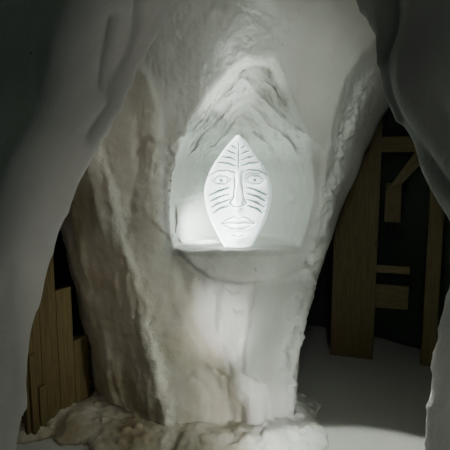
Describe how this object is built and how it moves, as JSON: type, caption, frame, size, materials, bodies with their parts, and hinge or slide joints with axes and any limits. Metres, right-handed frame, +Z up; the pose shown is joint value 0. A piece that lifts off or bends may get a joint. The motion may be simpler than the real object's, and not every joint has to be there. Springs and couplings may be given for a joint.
{
  "type": "igloo chamber",
  "caption": "Domed snow chamber of an igloo with a pointed entrance, a carved pier with a niche and an ice mask, and pine boards beside it.",
  "frame": {"origin": "middle of the room at floor level, on the underside of the pier", "axes": "+Z up, -Y out through the entrance, +X to the right of someone walking in"},
  "size_m": [5.2, 4.5075, 3.23],
  "materials": {
    "snow": "packed, carved snow",
    "ice": "clear carved ice",
    "pine": "sawn pine"
  },
  "bodies": {
    "root": {"front_right_jamb": "snow", "east_wall": "snow", "north_east_wall": "snow", "rear_right_wall": "snow", "rear_left_wall": "snow", "north_west_wall": "snow", "west_wall": "snow", "front_left_jamb": "snow", "front_right_haunch": "snow", "east_haunch": "snow", "north_east_haunch": "snow", "rear_right_haunch": "snow", "rear_left_haunch": "snow", "north_west_haunch": "snow", "west_haunch": "snow", "front_left_haunch": "snow", "front_right_vault": "snow", "rear_right_vault": "snow", "rear_left_vault": "snow", "front_left_vault": "snow", "crown": "snow", "pier_base": "snow", "niche_apron": "snow", "pier_left_cheek": "snow", "pier_right_cheek": "snow", "pier_back": "snow", "pier_head": "snow", "ice_mask": "ice", "left_boards": "pine", "left_battens": "pine", "left_pole": "pine", "right_post": "pine", "right_stud": "pine", "right_brace": "pine", "right_lintel": "pine", "right_upper_rail": "pine", "right_lower_rail": "pine", "right_jamb": "pine"}
  },
  "joints": []
}
